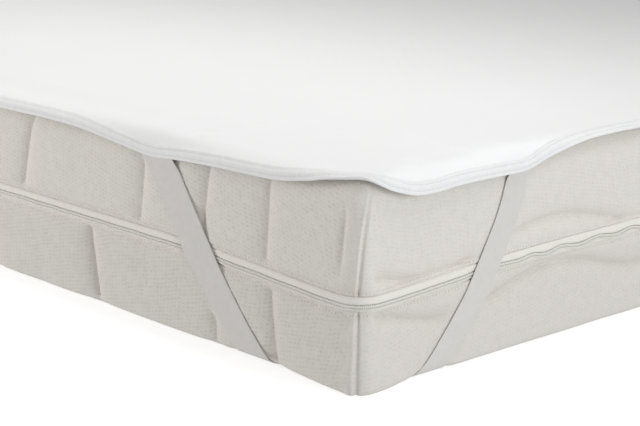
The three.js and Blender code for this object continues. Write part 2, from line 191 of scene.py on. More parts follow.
def corner_path(half_x, half_y, radius, along):
    """Places and outward directions on a rounded rectangle, at distances along it from the middle
    of its corner at +X and -Y. The long side is negative and the short side positive."""
    along = np.asarray(along, float)
    half_arc = radius * math.pi / 4
    in_arc = np.clip(along, -half_arc, half_arc)
    straight = along - in_arc
    angle = in_arc / radius - math.pi / 4
    outward = np.stack([np.cos(angle), np.sin(angle)], -1)
    place = np.array([half_x - radius, radius - half_y]) + radius * outward
    place[..., 0] += np.minimum(straight, 0)
    place[..., 1] += np.maximum(straight, 0)
    return place, outward


def along_at(from_corner, radius):
    return from_corner - radius + radius * math.pi / 4


def inset_place(along, radius, inset, blend, inner_radius):
    """The same path drawn in from the edge. Near the corner its places are closed up evenly."""
    blend_outer = along_at(blend, radius)
    blend_inner = along_at(blend - inset, inner_radius)
    distance = np.abs(along)
    near = distance * blend_inner / blend_outer
    inner = np.where(distance < blend_outer, near, distance - blend_outer + blend_inner)
    half_x, half_y = half_length - inset, half_width - inset
    return corner_path(half_x, half_y, inner_radius, np.sign(along) * inner)[0]


def spread_places(steps, half_side, radius):
    """Places along one side of a corner, from its middle to the middle of the side. Each step is
    a size and the place where it ends."""
    places = [0.0]
    for size, end in [*steps[:-1], (steps[-1][0], along_at(half_side, radius))]:
        count = max(1, round((end - places[-1]) / size))
        places += list(np.linspace(places[-1], end, count + 1)[1:])
    return np.array(places)


def walk_round(long_places, short_places):
    """Columns that go once round the mattress: each one's corner number and place beside it."""
    places = np.concatenate([-long_places[::-1], short_places[1:]])
    along = [(places if x == y else places[::-1])[:-1] for x, y in corner_signs]
    return np.repeat(range(len(corners)), len(places) - 1), np.concatenate(along)


def even_columns(steps, radius):
    """Columns that are spread alike on all sides."""
    return walk_round(
        spread_places(steps, half_length, radius), spread_places(steps, half_width, radius)
    )


def to_corner(places, number):
    """Takes places that were worked out at the first corner to each column's own corner."""
    turned = np.array(places, float)
    turned[..., :2] *= np.array(corner_signs, float)[number]
    return turned


def distance_along(places):
    step = np.linalg.norm(np.diff(places, axis=0), axis=-1)
    return np.concatenate([0 * step[:1], np.cumsum(step, axis=0)])


def distance_round(places):
    return distance_along(np.concatenate([places, places[:1]]))


def make_piece(name, points, faces, uv, finish, slot, node):
    """A smooth mesh in place of a CAD node, with places on its cloth in a UV map."""
    mesh = bpy.data.meshes.new(name)
    mesh.from_pydata(points.tolist(), [], faces)
    mesh.uv_layers.new(name="surface").data.foreach_set("uv", np.asarray(uv, "f").ravel())
    mesh.materials.append(finish)
    mesh.shade_smooth()
    piece = bpy.data.objects.new(name, mesh)
    bpy.context.scene.collection.objects.link(piece)
    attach(piece, "root")
    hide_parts(node)
    return piece


def rings_mesh(rings, around, down, joined):
    """Faces and cloth places of rings of points, with the last ring joined to the first
    or else with a flat cap on both ends."""
    rows, columns, _ = rings.shape
    bands = rows if joined else rows - 1
    row, column = np.meshgrid(np.arange(bands), np.arange(columns), indexing="ij")
    round_trip = [(0, 0), (0, 1), (1, 1), (1, 0)]
    quads = np.stack([
        (row + up) % rows * columns + (column + right) % columns for up, right in round_trip
    ], -1).reshape(-1, 4)
    uv = np.stack([
        np.stack([around[column + right], down[(row + up) % rows, (column + right) % columns]], -1)
        for up, right in round_trip
    ], -2).reshape(-1, 4, 2)
    points = rings.reshape(-1, 3)
    corner_points = points[quads]
    centre = corner_points.mean(1)
    outmost = np.argmax(centre[:, 0])
    diagonals = corner_points[outmost, 2:] - corner_points[outmost, :2]
    inside_out = np.cross(diagonals[0], diagonals[1])[0] < 0
    if inside_out:
        quads, uv = quads[:, ::-1], uv[:, ::-1]
    faces, uv = quads.tolist(), uv.reshape(-1, 2)
    if not joined:
        first = np.arange(columns)
        last = first + (rows - 1) * columns
        caps = [first[::-1], last] if not inside_out else [first, last[::-1]]
        faces += [cap.tolist() for cap in caps]
        uv = np.concatenate([uv, points[caps[0], :2], points[caps[1], :2]])
    return points, faces, uv


class Signal:
    """A value in a material's nodes. Arithmetic on it adds Math nodes, and any other node
    comes from its node method."""

    def __init__(self, tree, socket=None):
        self.tree, self.socket = tree, socket

    def node(self, kind, settings=None, sockets=None, output=0):
        made = self.tree.nodes.new("ShaderNode" + kind)
        for key, value in (settings or {}).items():
            setattr(made, key, value)
        for key, value in (sockets or {}).items():
            if isinstance(value, Signal):
                self.tree.links.new(value.socket, made.inputs[key])
            else:
                made.inputs[key].default_value = value
        return Signal(self.tree, made.outputs[output] if made.outputs else None)

    def math(self, operation, *others):
        return self.node("Math", {"operation": operation}, dict(enumerate((self, *others))))

    def __add__(self, other):
        return self.math("ADD", other)

    def __sub__(self, other):
        return self.math("SUBTRACT", other)

    def __rsub__(self, other):
        return self.node("Math", {"operation": "SUBTRACT"}, {0: other, 1: self})

    def __mul__(self, other):
        return self.math("MULTIPLY", other)

    def __truediv__(self, other):
        return self.math("DIVIDE", other)

    __radd__, __rmul__ = __add__, __mul__

    def wave(self):
        """A cosine of it, from 0 to 1, once for each whole number."""
        return (self * (2 * math.pi)).math("COSINE") * 0.5 + 0.5

    def saw(self):
        """How far it lies from the nearest whole number, from 0 to 0.5."""
        return self.math("PINGPONG", 0.5)

    def whole(self):
        return self.math("FLOOR")

    def blend(self, start, end):
        """Rises smoothly from 0 to 1 as it goes from start to end."""
        return self.node(
            "MapRange", {"interpolation_type": "SMOOTHSTEP"},
            {"Value": self, "From Min": start, "From Max": end},
        )

    def between(self, low, high):
        """A mix of two colours, with this as its share."""
        return self.node(
            "Mix", {"data_type": "RGBA"}, {"Factor": self, 6: (*low, 1), 7: (*high, 1)}, 2,
        )


def new_finish(name):
    finish = bpy.data.materials.new(name)
    finish.use_nodes = True
    finish.node_tree.nodes.clear()
    return finish, Signal(finish.node_tree)


def surface_places(paint):
    """How far round the piece and how far down its cloth a point lies, in millimetres."""
    uv = paint.node("UVMap", {"uv_map": "surface"})
    around = uv.node("SeparateXYZ", sockets={0: uv})
    down = Signal(paint.tree, around.socket.node.outputs[1])
    return around * 1000, down * 1000


def noise_at(paint, size, detail=2):
    """Even random patches in space, of a size in millimetres, around 0.5."""
    place = paint.node("TexCoord", output=3)
    return place.node("TexNoise", sockets={"Vector": place, "Scale": 1000 / size, "Detail": detail})


def cover_with(paint, colour, roughness, height, millimetres):
    """Ends a finish: its colour, its roughness and its raised surface, so many millimetres high."""
    normal = paint.node(
        "Bump", sockets={"Height": height * (millimetres / 1000), "Strength": 1, "Distance": 1},
    )
    shader = paint.node("BsdfPrincipled", sockets={
        "Base Color": colour, "Roughness": roughness, "Normal": normal,
        "Specular IOR Level": 0.25,
    })
    paint.node("OutputMaterial", sockets={"Surface": shader})


def ticking_finish():
    """Knitted ticking: staggered rows of short slanting dashes, the stitches beside the zip, and
    painted shade that darkens the lower half below the zip.
    """
    finish, paint = new_finish("ticking")
    around, down = surface_places(paint)
    wander = noise_at(paint, 22) - 0.5
    row = (down + around * 0.22) / 2.9 + wander * 1.6
    column = (around - down * 0.45) / 4.9 + row.whole() * 0.41 + wander * 0.8
    dash = (1 - column.saw().blend(0.20, 0.42)) * (1 - (0.5 - row.saw()).blend(0.04, 0.28))
    dash = dash * noise_at(paint, 5, 1).blend(0.28, 0.60)
    # The dashes are fainter on the short sides
    place = paint.node("TexCoord", output=3)
    from_end = half_length - place.node("SeparateXYZ", sockets={0: place}).math("ABSOLUTE")
    dash = dash * (0.5 + 0.5 * from_end.blend(0.004, 0.020))
    beside = down - stitch_place * 1000
    line = 1 - beside.math("ABSOLUTE").blend(0.2, 0.6)
    stitch = line * (around / 2.9).wave().blend(0.25, 0.6)
    knit = (around / 1.15).wave() * (down / 1.0).wave()
    rough = noise_at(paint, 1.8, 3)
    height = knit * 0.25 + rough * 0.55 - dash * 1.5 + stitch * 1.6 - line * 0.6
    # Painted shade: below the zip the ticking is coloured darker, standing in for the weaker light
    # the lower half gets
    painted_shade_lower_half = 1 - place.node("SeparateXYZ", sockets={0: place}, output=2).blend(0.048, 0.064)
    tone = 0.64 + (noise_at(paint, 7) - 0.5) * 0.25 + (rough - 0.5) * 0.28 - dash * 0.26
    tone = tone - painted_shade_lower_half * 0.17
    tone = tone + stitch * 0.75 - line * 0.28
    colour = tone.between((0.600, 0.568, 0.525), (0.870, 0.832, 0.780))
    cover_with(paint, colour, 0.95, height, 0.14)
    return finish


def zip_top_at(distance):
    return zip_top - zip_sag * np.exp(-((distance / zip_sag_length) ** 2))


def softened(distance, softness):
    """A distance either way, rounded off at its lowest."""
    return np.sqrt(distance**2 + softness**2) - softness


def all_rows(first_rows, spacing):
    """Every row of quilting from a corner to the middle of its long side: place, lean, depth."""
    further = np.arange(first_rows[-1][0] + spacing, last_row, spacing)
    lean = first_rows[-2][1] * (1 - smooth_step(further, 0.75, 1.0))
    depth = 0.88 + 0.12 * np.sin(61 * further)
    return np.concatenate([first_rows, np.column_stack([further, lean, depth])])


def cover_columns(rows):
    """Columns of points, close together at the corner and at each row of quilting."""
    radius = cover_corner_radius
    beside = [sign * step for step in row_columns for sign in (-1, 1)]
    at_rows = np.unique(np.round((rows[:, :1] + np.array(beside)).ravel(), 6))
    corner_places = spread_places((*corner_columns, (0.0045, None)), half_width, radius)
    long_places = np.array([
        *corner_places[corner_places < last_corner_column],
        *along_at(at_rows[at_rows > first_row_column], radius),
        along_at(half_length, radius),
    ])
    short_steps = (*corner_columns, (0.0030, 0.300), (0.0050, None))
    return walk_round(long_places, spread_places(short_steps, half_width, radius))


def bump(distance, width):
    return np.exp(-((distance / width) ** 2))


def seam_relief(along, height):
    """The welt along the corner seam, the thin groove beside it and a soft fold next to them."""
    beside = along - read_table(seam_path, height)[0]

    def line(rise, place, width):
        return rise * bump(beside - place, width)

    upper_share = smooth_step(height, 0.058, 0.068)
    welt = line(0.0009, -0.0016, 0.0011) * upper_share
    welt += line(0.0012, -0.0026, 0.0019) * (1 - upper_share)
    groove = line(-(0.0014 + 0.0006 * upper_share), 0.0004, 0.0010)
    fold_share = smooth_step(height, 0.066, 0.090) * (1 - smooth_step(height, 0.108, 0.128))
    fold = line(-0.0022 * fold_share, -0.0150, 0.0026)
    return (welt + groove) * (1 - smooth_step(height, 0.124, 0.132)) + fold


def strap_band(strap, from_corner, height, tilt):
    """Where a strap lies on its side of the corner and round the under edge, from 0 to 1."""
    rows, turn = np.array(strap["rows"])[::-1], np.array(strap["turn"])
    near, far = [
        np.where(
            tilt < 0, np.interp(-np.degrees(tilt), turn[:, 0], turn[:, edge]),
            np.interp(height, rows[:, 0], rows[:, edge]),
        )
        for edge in (1, 2)
    ]
    outside = np.maximum(near - from_corner, from_corner - far)
    return 1 - smooth_step(outside, *strap_dent_edge)


def straps_on(long_side, from_corner, height, tilt):
    """The same for both sides of the corner."""
    return np.where(
        long_side, strap_band(long_strap, from_corner, height, tilt),
        strap_band(short_strap, from_corner, height, tilt),
    )


def under_band(place):
    """Where the straps pass under the corners, on the flat underside, from 0 to 1."""
    from_end, from_side = half_length - place[..., 0], place[..., 1] + half_width
    (_, *long_at), (_, *short_at) = long_strap["turn"][-1], short_strap["turn"][-1]
    inside, outside = [
        (from_end / a + from_side / b - 1) * min(a, b) * 0.85 for a, b in zip(long_at, short_at)
    ]
    return smooth_step(inside, -0.006, -0.001) * (1 - smooth_step(outside, 0.001, 0.006))


def unevenness(x, y, z):
    """Slow, shallow unevenness of padded cloth, about -1 to 1."""
    return (
        np.sin(61 * x + 23 * y + 31 * z + 1.1) + np.sin(37 * x - 71 * y + 53 * z + 2.7)
        + np.sin(113 * x + 97 * y - 67 * z + 0.4) * 0.6
    ) / 2.6


def face_shares(steps):
    """Shares of a face's height from the zip to its rounded edge. Each step is a number of rows
    and the share where they end, so that rows lie close where the quilting waves."""
    shares = [0.0]
    for count, end in steps:
        shares += list(np.linspace(shares[-1], end, count + 1)[1:])
    return shares[1:]


def cover_profile(foot, edge_radius, edge, turn, face_steps, inner):
    """Rows of one half, each with its depth, height, upward tilt and share of relief: the lip that
    is turned in at the zip, the face, the rounded edge and the flat part, drawn in ring by ring."""
    flat = np.ones_like(foot)
    lip = (
        (0.006, 0.0002, 0), (0.0030, 0.0000, 0.2), (0.0013, 0.0001, 0.5), (0.0004, 0.0007, 0.8),
        (0.0, 0.0018, 1), (0.0, 0.0026, 1), (0.0, 0.0034, 1),
    )
    rows = [
        (depth * flat, foot + turn * rise, 0 * flat, share * flat) for depth, rise, share in lip
    ]
    start, end = foot + turn * lip[-1][1], edge - turn * edge_radius
    for share in face_shares(face_steps):
        rows.append((0 * flat, start + (end - start) * share, 0 * flat, flat))
    for angle in np.linspace(0, math.pi / 2, 10)[1:]:
        depth, height = edge_radius * (1 - math.cos(angle)), edge_radius * math.sin(angle)
        rows.append((depth, end + turn * height, turn * angle * flat, flat))
    rows += [(0 * flat, edge * flat, turn * math.pi / 2 * flat, 0 * flat)] * len(inner)
    return np.moveaxis(np.array(rows), 1, 0)


def long_side_padding(rows, from_corner, near_zip, side):
    """The padding of a long side, drawn in along its rows of quilting and evenly at the zip."""
    puff = puff_height * side**2
    kept = np.prod([
        1 - depth * np.exp(-softened(from_corner - place, quilt_softness) / quilt_reach)
        for place, _, depth in rows
    ], axis=0)
    drawn = (1 - kept) * (1 - 0.6 * (1 - side**2))
    drawn = drawn * (1 - near_zip) + 0.30 * near_zip
    return puff - (quilt_depth + puff) * drawn


def short_side_padding(wave, from_corner, height, from_zip, near_zip, side):
    """The padding of a short side, drawn in along its one waving row and a little at the zip."""
    middle, swing, low_at, length = wave
    waving = height - middle + swing * np.cos(2 * math.pi * (from_corner - low_at) / length)
    soft = softened(waving, wave_softness)
    dips = sum(dip * np.exp(-soft / reach) for dip, reach in wave_shape)
    near_lip = 1 - smooth_step(from_zip, 0.0008, 0.0036)
    dips = dips * smooth_step(from_corner, 0.010, 0.022) * (1 - 0.75 * near_lip)
    return puff_height * side**2 - dips * side - 0.0005 * near_zip


def cover_half(name, first_rows, spacing, level, wave, upwards, face_steps, inner):
    rows = all_rows(first_rows, spacing)
    number, along = cover_columns(rows)
    radius = cover_corner_radius
    from_corner = np.abs(along) + radius * (1 - math.pi / 4)
    long_side = along < 0
    edge_share = smooth_step(from_corner, *edge_blend)
    if upwards:
        foot, turn = zip_top_at(from_corner), 1
        edge = mattress_height - corner_sink * bump(from_corner, corner_sink_reach)
        edge_radius = corner_top_radius + (top_edge_radius - corner_top_radius) * edge_share
    else:
        foot, edge, turn = zip_top_at(from_corner) - zip_opening, 0 * along, -1
        edge_radius = corner_under_radius + (under_edge_radius - corner_under_radius) * edge_share
        pressed = straps_on(long_side, from_corner, 0, -0.001)
        edge_radius += (strap_edge_radius - edge_radius) * pressed
    depth, height, tilt, share = cover_profile(foot, edge_radius, edge, turn, face_steps, inner)
    from_zip = np.abs(height - foot)
    side = np.cos(tilt)

    # Columns lean with the quilting, and all rows are drawn in beside the zip at the corner
    knots = np.array([0.0, last_corner_column, *rows[:, 0], half_length])
    lean = np.interp(from_corner, knots, [0.0, 0.0, *rows[:, 1], 0.0])
    leaning = along - np.where(long_side, lean * (height - level), 0)
    path, outward = corner_path(half_length, half_width, radius, leaning)
    drawn_in = inset_place(leaning, radius, 0, zip_corner_radius, zip_corner_radius) - path
    places = path + drawn_in * bump(from_zip, zip_draw)[..., None] - outward * depth[..., None]
    for k, inset in enumerate(inner):
        blend = max(0.12, inset + 0.03)
        places[k - len(inner)] = inset_place(along, radius, inset, blend, 0.004)

    # How far each point stands out: padding, the zip's stitches, the corner and the straps' dents
    near_zip = 1 - smooth_step(from_zip, 0.0020, 0.0060)
    relief = np.where(
        long_side, long_side_padding(rows, from_corner, near_zip, side),
        short_side_padding(wave, from_corner, height, from_zip, near_zip, side),
    )
    relief -= 0.0005 * bump(from_zip - 0.0026, 0.0007) * side
    relief -= zip_settle * np.exp(-from_zip / zip_settle_reach) * side * (not upwards)
    relief += seam_relief(along, height) * side
    near_corner = 1 - smooth_step(from_corner, 0.020, np.where(long_side, 0.080, 0.050))
    relief += foot_bulge * near_corner * bump(height - foot_height, foot_reach) * side
    relief += 0.0004 * side * unevenness(places[..., 0], places[..., 1], height)
    relief -= side_bow * side * np.clip(2 * height / mattress_height - 1, 0, 1) ** 2
    straps_here = straps_on(long_side, from_corner, height, tilt)
    relief -= straps_here * (np.maximum(relief - strap_press, 0) + 0.95 * np.minimum(relief, 0))
    if not upwards:
        lift = np.interp(-np.degrees(tilt), *np.transpose(strap_turn_lift))
        relief -= straps_here * np.maximum(strap_clearance - lift, 0)
    relief *= share
    places += outward * (relief * side)[..., None]
    rise = relief * np.sin(tilt)
    if upwards:
        rise[-len(inner):] = cover_crown * np.array(inner)[:, None] / inner[-1]
    else:
        room = strap_clearance + strap_room_below
        rise[-len(inner):] = room * under_band(places[-len(inner):])
        rise[-len(inner) - 1] = room * straps_here[-len(inner) - 1]
        rise = np.maximum(rise, -height)
    rings = np.concatenate([places, (height + rise)[..., None]], -1)
    rings = to_corner(rings, number)
    first_face_row = 8
    around = distance_round(rings[first_face_row, :, :2])
    mesh = rings_mesh(rings, around, distance_along(rings), False)
    piece = make_piece(name, *mesh, ticking, "ticking", "mattress")


ticking = ticking_finish()
cover_half(
    "ticking_upper", upper_rows, upper_spacing, upper_level, upper_wave, True,
    ((18, 0.33), (12, 1)), (0.030, 0.045, 0.100),
)
cover_half(
    "ticking_lower", lower_rows, lower_spacing, lower_level, lower_wave, False,
    ((2, 0.06), (22, 0.50), (9, 1)),
    (0.010, 0.014, 0.018, 0.022, 0.026, 0.030, 0.034, 0.038, 0.042, 0.047, 0.053),
)


# Zip of the cover. Two woven cream tapes are sewn behind the lips of the two halves, and the closed
# coil between them shows as two narrow ridges. Along the short sides the coil lies in ripples.
zip_steps = ((0.0012, 0.012), (0.0025, 0.030), (0.0040, None))
chain_drop = 0.0051
lower_tape_drop = 0.0082
ripple_length = 0.0345
zip_number, zip_along = even_columns(zip_steps, zip_corner_radius)
zip_path, zip_outward = corner_path(half_length, half_width, zip_corner_radius, zip_along)
zip_around = distance_round(to_corner(zip_path, zip_number))
zip_from_corner = np.abs(zip_along) + zip_corner_radius * (1 - math.pi / 4)
zip_line = zip_top_at(zip_from_corner)
ripple_share = np.where(zip_along > 0, smooth_step(zip_from_corner, 0.130, 0.175), 0.12)
ripple = ripple_share * np.sin(
    2 * math.pi * zip_from_corner / ripple_length
    + 0.8 * np.sin(2 * math.pi * zip_from_corner / 0.151)
)
# Where a strap crosses the zip, it presses the zip in
zip_press = 0.0012 * straps_on(zip_along < 0, zip_from_corner, zip_line - 0.005, 0 * zip_line)


def zip_band(node, section, finish, slot):
    """A closed band round the mattress. The section's points are places below the zip's line and
    inwards from the side, and how far the ripple moves each one down and outwards."""
    section = np.array(section)
    below, depth, ripple_down, ripple_out = section.T[..., None]
    depth = depth - ripple * ripple_out + zip_press
    height = zip_line - below - ripple * ripple_down
    places = zip_path - zip_outward * depth[..., None]
    rings = to_corner(np.concatenate([places, height[..., None]], -1), zip_number)
    down = np.repeat(distance_along(section[:, :2])[:, None], len(zip_along), 1)
    mesh = rings_mesh(rings, zip_around, down, True)
    make_piece(node + "_look", *mesh, finish, slot, node)


def woven_tape_finish(name, low, high):
    finish, paint = new_finish(name)
    around, down = surface_places(paint)
    twill = ((around + down * 1.4) / 0.9).wave()
    height = twill * 0.6 + noise_at(paint, 0.8) * 0.5
    colour = (twill * 0.4 + noise_at(paint, 4) * 0.6).between(low, high)
    cover_with(paint, colour, 0.85, height, 0.1)
    return finish


def chain_finish():
    finish, paint = new_finish("zip_chain")
    around, down = surface_places(paint)
    coil = ((around + down * 0.35) / 1.25).wave()
    tone = coil * 0.7 + noise_at(paint, 5) * 0.3
    cover_with(paint, tone.between((0.74, 0.715, 0.665), (0.90, 0.88, 0.825)), 0.6, coil, 0.25)
    return finish


tape_cream = woven_tape_finish("zip_tape", (0.835, 0.802, 0.735), (0.915, 0.888, 0.822))
zip_band("zip_tape_upper", (
    (-0.0022, 0.0034, 0, 0), (-0.0022, 0.0026, 0, 0), (-0.0002, 0.0022, 0, 0),
    (-0.0001, 0.0008, 0, 0), (0.0002, -0.0004, 0, 0), (0.0010, -0.0008, 0.0001, 0),
    (0.0037, -0.0008, 0.0005, 0), (0.0045, -0.0006, 0.0009, 0), (0.0048, -0.0001, 0.0010, 0),
    (0.0048, 0.0006, 0.0010, 0), (0.0045, 0.0009, 0.0010, 0), (0.0012, 0.0013, 0, 0),
    (0.0006, 0.0030, 0, 0),
), tape_cream, "zip_tape")
# The coil's two ridges: how far down each starts, how high it is and how far it stands out
chain_section = [
    (0.0024, 0.0020, 0.0011, 0), (0.0024, 0.0014, 0.0011, 0),
    (chain_drop - 0.0002, 0.0012, 0.0011, 0),
]
for ridge_top, ridge_height, proud in ((0.0, 0.0018, 0.0013), (0.0021, 0.0016, 0.0010)):
    for turn in np.linspace(0, math.pi, 9):
        below = chain_drop + ridge_top + ridge_height * (1 - math.cos(turn)) / 2
        depth = 0.0002 - (0.0002 + proud) * abs(math.sin(turn)) ** 0.8
        chain_section.append((below, depth, 0.0011, 0.0004))
chain_section += [
    (0.0090, 0.0014, 0.0011, 0), (0.0095, 0.0017, 0.0011, 0), (0.0095, 0.0022, 0.0011, 0),
]
zip_band("zip_chain", chain_section, chain_finish(), "zip_chain")
zip_band("zip_tape_lower", [(lower_tape_drop + below, *rest) for below, *rest in (
    (0.0, 0.0011, 0.0009, 0), (0.0, 0.0003, 0.0009, 0), (0.0005, -0.0002, 0.0007, 0),
    (0.0011, 0.0002, 0.0004, 0), (0.0017, 0.0022, 0, 0), (0.0040, 0.0026, 0, 0),
    (0.0040, 0.0034, 0, 0), (0.0014, 0.0030, 0, 0), (0.0007, 0.0012, 0.0004, 0),
)], tape_cream, "zip_tape")


# Protector cloth. One flat piece of smooth white knit is laid over the mattress. Its rim bends
# down over the edge by some ten millimetres, more where the straps pull it.
cloth_gap = 0.0003
cloth_thickness = 0.0012
rest_height = mattress_height + cloth_gap
binding_width = 0.0075
hem_corner_radius = 0.024
hem_steps = ((0.0030, 0.330), (0.0075, None))
# The flat cloth begins this far in from the mattress's side, with a tighter corner
rim_width = 0.040
rim_corner_radius = 0.012
rim_blend = 0.110
# The bend: how far in it begins, how steep the hem can hang, the drop that makes it steep, and the
# lengths of the curve's two handles
bend_width = 0.016
steepest_hem = math.radians(85)
drop_for_steep_hem = 0.003
hang_per_reach, hang_per_drop = 1.0, 0.95
bend_share = 0.30
# The hem where no strap pulls: its distance off the side, its height, and its waves
quiet_out, quiet_low = 0.003, 0.131
hem_waves = ((0.0014, 0.295), (-0.0009, 0.182))
# How the hem lies round a corner: the place along it, its distance off the side and its height
hem_rows = (
    (-0.995, 0.0030, 0.1310), (-0.520, 0.0030, 0.1310), (-0.386, 0.0030, 0.1310),
    (-0.325, 0.0030, 0.1320), (-0.281, 0.0030, 0.1310), (-0.233, 0.0034, 0.1266),
    (-0.198, 0.0037, 0.1237), (-0.169, 0.0047, 0.1260), (-0.122, 0.0080, 0.1290),
    (-0.094, 0.0085, 0.1297), (-0.062, 0.0080, 0.1307), (-0.034, 0.0070, 0.1346),
    (-0.018, 0.0055, 0.1377), (-0.008, 0.0050, 0.1391), (0.002, 0.0055, 0.1395),
    (0.010, 0.0070, 0.1357), (0.017, 0.0085, 0.1316), (0.034, 0.0100, 0.1268),
    (0.051, 0.0105, 0.1262), (0.070, 0.0100, 0.1272),
    (0.089, 0.0092, 0.1273), (0.119, 0.0066, 0.1262), (0.146, 0.0036, 0.1255),
    (0.162, 0.0035, 0.1297), (0.177, 0.0030, 0.1327), (0.198, 0.0030, 0.1360),
    (0.220, 0.0030, 0.1377), (0.265, 0.0030, 0.1378), (0.340, 0.0030, 0.1345),
    (0.400, 0.0030, 0.1314), (0.445, 0.0030, 0.1310),
)


def hem_curves(number, along):
    """The cloth's section at places of the hem. The function that it returns gives points at
    distances up the cloth from its lower edge, moved outwards by an offset."""
    pull = np.array(corner_pulls)[number]
    out, low = read_table(hem_rows, along)
    out = quiet_out + (out - quiet_out) * pull
    low = quiet_low + (low - quiet_low) * pull
    middle = np.where(along < 0, half_length, half_width)
    turns = (along_at(middle, hem_corner_radius) - np.abs(along)) * 2 * math.pi
    wave_share = smooth_step(np.abs(along), 0.300, 0.520)
    for wave_height, wave_length in hem_waves:
        low = low + wave_share * wave_height * np.cos(turns / wave_length)
    path, normal = corner_path(half_length, half_width, hem_corner_radius, along)
    rim = inset_place(along, hem_corner_radius, rim_width, rim_blend, rim_corner_radius)
    tip = path + normal * out[:, None]
    outward = (tip - rim) / np.linalg.norm(tip - rim, axis=1)[:, None]
    drop = np.maximum(rest_height - low, 0.0001)
    reach = out + bend_width
    steepness = steepest_hem * (1 - np.exp(-drop / drop_for_steep_hem))
    hang = np.minimum(hang_per_reach * reach, hang_per_drop * drop / np.sin(steepness))
    zero = 0 * drop
    knots = np.array([
        (zero, zero), (-hang * np.cos(steepness), hang * np.sin(steepness)),
        (-reach * bend_share, drop), (-reach, drop),
    ])

    def curve(t):
        weights = ((1 - t) ** 3, 3 * (1 - t) ** 2 * t, 3 * (1 - t) * t * t, t**3)
        return sum(w * knot[..., None] for w, knot in zip(weights, knots))

    def slope(t):
        weights = ((1 - t) ** 2, 2 * (1 - t) * t, t * t)
        return sum(w * leg[..., None] for w, leg in zip(weights, np.diff(knots, axis=0)))

    sampled = np.linspace(0, 1, 49)
    walked = distance_along(curve(sampled).T).T
    length = walked[:, -1]

    def point_at(distances, offset):
        """Points of every place at distances, one column of them for each place."""
        at = np.clip(distances, 0, length[:, None])
        t = np.array([np.interp(a, w, sampled) for a, w in zip(at, walked)])
        flat, rise = curve(t)
        run, climb = slope(t)
        size = np.hypot(run, climb)
        run, climb = run / size, climb / size
        # Past the lower edge the line runs on straight, as the bound strip lies
        first = curve(np.array([np.interp(binding_width, w, sampled) for w in walked])[:, None])
        first = first / np.linalg.norm(first, axis=0)
        below = np.minimum(distances, 0)
        flat = flat + first[0] * below + climb * offset
        rise = rise + first[1] * below - run * offset
        places = tip[:, None] + outward[:, None] * flat[..., None]
        height = rest_height - drop[:, None] + rise
        return np.moveaxis(np.concatenate([places, height[..., None]], -1), 1, 0)

    return point_at, length, rim


hem_number, hem_along = even_columns(hem_steps, hem_corner_radius)
hem_point, hem_length, hem_rim = hem_curves(hem_number, hem_along)
hem_around = distance_round(to_corner(hem_rim, hem_number))
cloth_rows = 20
rim_insets = (
    0.040, 0.043, 0.046, 0.050, 0.055, 0.061, 0.068, 0.076, 0.086, 0.098, 0.112, 0.130, 0.152,
    0.180, 0.215, 0.260, 0.310, 0.370,
)
dimple_depth = 0.0006
# The mattress swells under the cloth: how high beside the corner, at places along the hem
crown_rows = (
    (-0.995, 0.0065), (-0.300, 0.0065), (-0.200, 0.0085), (-0.130, 0.0080), (-0.080, 0.0060),
    (-0.030, 0.0045), (0.000, 0.0035), (0.035, 0.0055), (0.090, 0.0060), (0.140, 0.0050),
    (0.190, 0.0018), (0.300, 0.0018), (0.445, 0.0030),
)
middle_crown = 0.0065
crown_start = 0.0086
crown_reach = 0.015
# Folds that the straps pull into the cloth: place along the hem, lean for each metre inwards,
# width towards the corner and away from it, reach inwards, and depth
pull_folds = (
    (-0.176, 0.55, 0.0035, 0.026, 0.040, 0.0055), (-0.214, -0.20, 0.020, 0.012, 0.035, 0.0030),
    (-0.132, 0.45, 0.005, 0.020, 0.034, 0.0040), (-0.080, 0.10, 0.030, 0.026, 0.034, 0.0030),
    (0.042, 0.25, 0.018, 0.024, 0.034, 0.0042), (0.098, -0.45, 0.018, 0.0035, 0.040, 0.0046),
    (0.140, 0.20, 0.014, 0.020, 0.034, 0.0034),
)


def top_relief(along, inset, number):
    """How far the cloth lies below its highest level: slow unevenness and the straps' folds."""
    x, y = to_corner(np.stack([along, inset, 0 * inset], -1), number)[..., :2].T
    slow = np.sin(21 * x.T + 9 * y.T + 0.7) * np.sin(13 * x.T - 27 * y.T + 1.9)
    middle = np.sin(57 * x.T - 33 * y.T) * np.sin(41 * x.T + 62 * y.T + 2.2)
    relief = dimple_depth * (1 - 0.5 * slow - 0.3 * middle)
    pull = np.array(corner_pulls)[number]
    for place, lean, near, far, reach, depth in pull_folds:
        beside = (along - place - lean * inset) * (-np.sign(place))
        width = np.where(beside > 0, near, far)
        relief = relief + pull * depth * bump(beside, width) * np.exp(-((inset / reach) ** 2))
    return relief


def cloth_face(offset):
    """The rings of one face of the cloth, from its raw edge up and in over the mattress."""
    share = np.linspace(0, 1, cloth_rows) ** 1.1
    bend = hem_point(hem_length[:, None] * share, offset)
    flat = []
    for inset in rim_insets:
        place = inset_place(
            hem_along, hem_corner_radius, inset, max(rim_blend, inset + 0.08), rim_corner_radius
        )
        flat.append(np.column_stack([place, np.full(len(place), rest_height + offset)]))
    rings = np.array([*bend, *flat])
    reach = hem_length[None, :] * (1 - share[:, None])
    inset = np.concatenate([
        rim_width - reach, np.repeat(np.array(rim_insets)[:, None], len(hem_along), 1)
    ])
    along = np.broadcast_to(hem_along, inset.shape)
    numbers = np.broadcast_to(hem_number, inset.shape)
    relief = top_relief(along, np.maximum(inset, 0), numbers)
    from_edge = inset + (hem_length - rim_width)
    crown = read_table(crown_rows, along)[0]
    crown = crown + (middle_crown - crown) * smooth_step(inset, 0.035, 0.150)
    rise = crown * (1 - np.exp(-np.maximum(from_edge - crown_start, 0) / crown_reach))
    fade = smooth_step(from_edge, 0.009, 0.030) * (1 - smooth_step(inset, 0.26, 0.36))
    rings[..., 2] += rise - fade * relief
    return to_corner(rings, hem_number)


